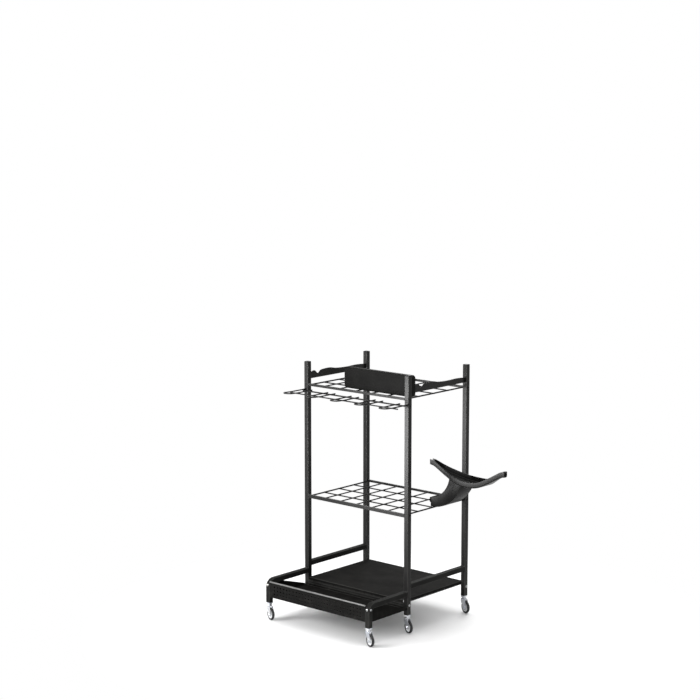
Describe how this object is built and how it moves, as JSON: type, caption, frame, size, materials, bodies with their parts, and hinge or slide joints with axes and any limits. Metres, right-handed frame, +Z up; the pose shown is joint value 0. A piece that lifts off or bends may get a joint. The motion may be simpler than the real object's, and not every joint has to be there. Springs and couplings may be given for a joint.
{
  "type": "garden tool rack",
  "caption": "Freestanding square-tube rack that holds long garden tools upright in rod grids, with a front tray, hairpin holders, a side cradle and swivel casters.",
  "frame": {"origin": "on the ground, under the middle of the whole outline", "axes": "+Z up; +Y from the tray towards the back; +X across, towards the side cradle"},
  "size_m": [0.8834, 0.6064, 1],
  "materials": {
    "black_coat": "satin powder coat",
    "black_cap": "moulded matt",
    "zinc": "bright zinc plate",
    "wheel": "satin moulded"
  },
  "bodies": {
    "rack": {"middle_left_post": "black_coat", "middle_left_post_cap": "black_cap", "rear_left_post": "black_coat", "rear_left_post_cap": "black_cap", "left_leg_rail": "black_coat", "left_side_rail": "black_coat", "middle_right_post": "black_coat", "middle_right_post_cap": "black_cap", "rear_right_post": "black_coat", "rear_right_post_cap": "black_cap", "right_leg_rail": "black_coat", "right_side_rail": "black_coat", "tray_apron": "black_coat", "tray_floor": "black_coat", "front_cross_bar": "black_coat", "rear_floor": "black_coat", "mid_grid_frame": "black_coat", "mid_grid_depth_rod_1": "black_coat", "mid_grid_depth_rod_2": "black_coat", "mid_grid_depth_rod_3": "black_coat", "mid_grid_depth_rod_4": "black_coat", "mid_grid_depth_rod_5": "black_coat", "top_grid_frame": "black_coat", "top_grid_depth_rod_1": "black_coat", "top_grid_depth_rod_2": "black_coat", "top_grid_depth_rod_3": "black_coat", "top_grid_depth_rod_4": "black_coat", "top_grid_depth_rod_5": "black_coat", "hook_root_rod": "black_coat", "hook_tie_rod": "black_coat", "hook_loop_1": "black_coat", "hook_loop_2": "black_coat", "hook_loop_3": "black_coat", "hook_loop_4": "black_coat", "hook_loop_5": "black_coat", "left_side_band": "black_coat", "right_side_band": "black_coat", "top_panel": "black_coat", "cradle": "black_coat", "cradle_arm": "black_coat"},
    "front_left_fork": {"front_left_caster_fork": "zinc", "front_left_caster_axle": "zinc"},
    "front_left_wheel": {"front_left_caster_wheel": "wheel"},
    "front_right_fork": {"front_right_caster_fork": "zinc", "front_right_caster_axle": "zinc"},
    "front_right_wheel": {"front_right_caster_wheel": "wheel"},
    "middle_left_fork": {"middle_left_caster_fork": "zinc", "middle_left_caster_axle": "zinc"},
    "middle_left_wheel": {"middle_left_caster_wheel": "wheel"},
    "middle_right_fork": {"middle_right_caster_fork": "zinc", "middle_right_caster_axle": "zinc"},
    "middle_right_wheel": {"middle_right_caster_wheel": "wheel"},
    "rear_left_fork": {"rear_left_caster_fork": "zinc", "rear_left_caster_axle": "zinc"},
    "rear_left_wheel": {"rear_left_caster_wheel": "wheel"},
    "rear_right_fork": {"rear_right_caster_fork": "zinc", "rear_right_caster_axle": "zinc"},
    "rear_right_wheel": {"rear_right_caster_wheel": "wheel"}
  },
  "joints": [
    {"name": "front_left_swivel", "type": "hinge", "parent": "rack", "child": "front_left_fork", "pos_m": [-0.42425, -0.28714, 0.062], "axis": [0, 0, 1], "continuous": true},
    {"name": "front_left_spin", "type": "hinge", "parent": "front_left_fork", "child": "front_left_wheel", "pos_m": [-0.41382, -0.29065, 0.0245], "axis": [0.319, 0.9478, 0], "continuous": true},
    {"name": "front_right_swivel", "type": "hinge", "parent": "rack", "child": "front_right_fork", "pos_m": [0.09075, -0.28714, 0.062], "axis": [0, 0, 1], "continuous": true},
    {"name": "front_right_spin", "type": "hinge", "parent": "front_right_fork", "child": "front_right_wheel", "pos_m": [0.10118, -0.29065, 0.0245], "axis": [0.319, 0.9478, 0], "continuous": true},
    {"name": "middle_left_swivel", "type": "hinge", "parent": "rack", "child": "middle_left_fork", "pos_m": [-0.42425, -0.06214, 0.062], "axis": [0, 0, 1], "continuous": true},
    {"name": "middle_left_spin", "type": "hinge", "parent": "middle_left_fork", "child": "middle_left_wheel", "pos_m": [-0.41382, -0.06565, 0.0245], "axis": [0.319, 0.9478, 0], "continuous": true},
    {"name": "middle_right_swivel", "type": "hinge", "parent": "rack", "child": "middle_right_fork", "pos_m": [0.09075, -0.06214, 0.062], "axis": [0, 0, 1], "continuous": true},
    {"name": "middle_right_spin", "type": "hinge", "parent": "middle_right_fork", "child": "middle_right_wheel", "pos_m": [0.10118, -0.06565, 0.0245], "axis": [0.319, 0.9478, 0], "continuous": true},
    {"name": "rear_left_swivel", "type": "hinge", "parent": "rack", "child": "rear_left_fork", "pos_m": [-0.42425, 0.29186, 0.062], "axis": [0, 0, 1], "continuous": true},
    {"name": "rear_left_spin", "type": "hinge", "parent": "rear_left_fork", "child": "rear_left_wheel", "pos_m": [-0.41382, 0.28835, 0.0245], "axis": [0.319, 0.9478, 0], "continuous": true},
    {"name": "rear_right_swivel", "type": "hinge", "parent": "rack", "child": "rear_right_fork", "pos_m": [0.09075, 0.29186, 0.062], "axis": [0, 0, 1], "continuous": true},
    {"name": "rear_right_spin", "type": "hinge", "parent": "rear_right_fork", "child": "rear_right_wheel", "pos_m": [0.10118, 0.28835, 0.0245], "axis": [0.319, 0.9478, 0], "continuous": true}
  ]
}
